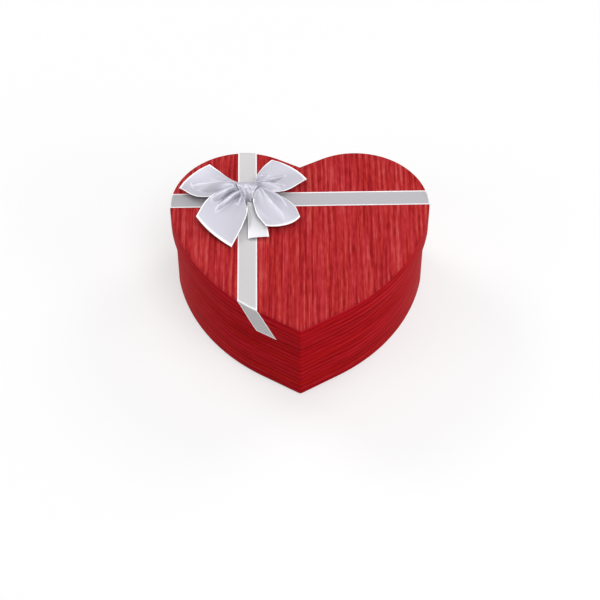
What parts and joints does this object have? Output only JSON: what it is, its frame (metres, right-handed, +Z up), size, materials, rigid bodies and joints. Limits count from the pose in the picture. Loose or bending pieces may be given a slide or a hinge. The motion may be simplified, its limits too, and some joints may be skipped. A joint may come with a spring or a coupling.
{
  "type": "heart-shaped gift box",
  "caption": "Heart-shaped rigid gift box with a lift-off telescoping lid, crossed satin ribbons and a bow off to the left.",
  "frame": {"origin": "on the table under the middle of the lid's length and width, at the base's underside", "axes": "+Z up, the way the lid lifts; -Y towards the heart's tip; +X to the right as seen from the tip, with the bow on the -X side"},
  "size_m": [0.2208, 0.2004, 0.1076],
  "materials": {
    "bottom_paper": "satin",
    "base_paper": "satin",
    "rim_paper": "satin",
    "top_paper": "satin",
    "lining_paper": "matte",
    "greyboard": "matte",
    "kraft_tape": "matte",
    "flat_ribbon": "satin",
    "bow_ribbon": "satin",
    "hot_glue": "satin"
  },
  "bodies": {
    "base": {"base_bottom_sheet": "bottom_paper", "base_bottom_board": "greyboard", "base_wall_board_left": "greyboard", "base_wall_board_right": "greyboard", "base_stay_tip": "kraft_tape", "base_stay_notch": "kraft_tape", "base_wall_wrap": "base_paper", "base_wall_lining": "lining_paper", "base_floor_lining": "lining_paper"},
    "lid": {"lid_top_board": "greyboard", "lid_rim_board_left": "greyboard", "lid_rim_board_right": "greyboard", "lid_stay_tip": "kraft_tape", "lid_stay_notch": "kraft_tape", "lid_rim_wrap": "rim_paper", "lid_top_sheet": "top_paper", "lid_top_lining": "lining_paper", "ribbon_cross": "flat_ribbon", "ribbon_long": "flat_ribbon", "bow_knot": "bow_ribbon", "bow_loop_upper_left": "bow_ribbon", "bow_loop_upper_right": "bow_ribbon", "bow_loop_lower_left": "bow_ribbon", "bow_loop_lower_right": "bow_ribbon", "bow_tail": "bow_ribbon", "bow_glue_dot": "hot_glue"}
  },
  "joints": [
    {"name": "lid_lift", "type": "slide", "parent": "base", "child": "lid", "axis": [0, 0, 1], "range_m": [0, 0.12]}
  ]
}
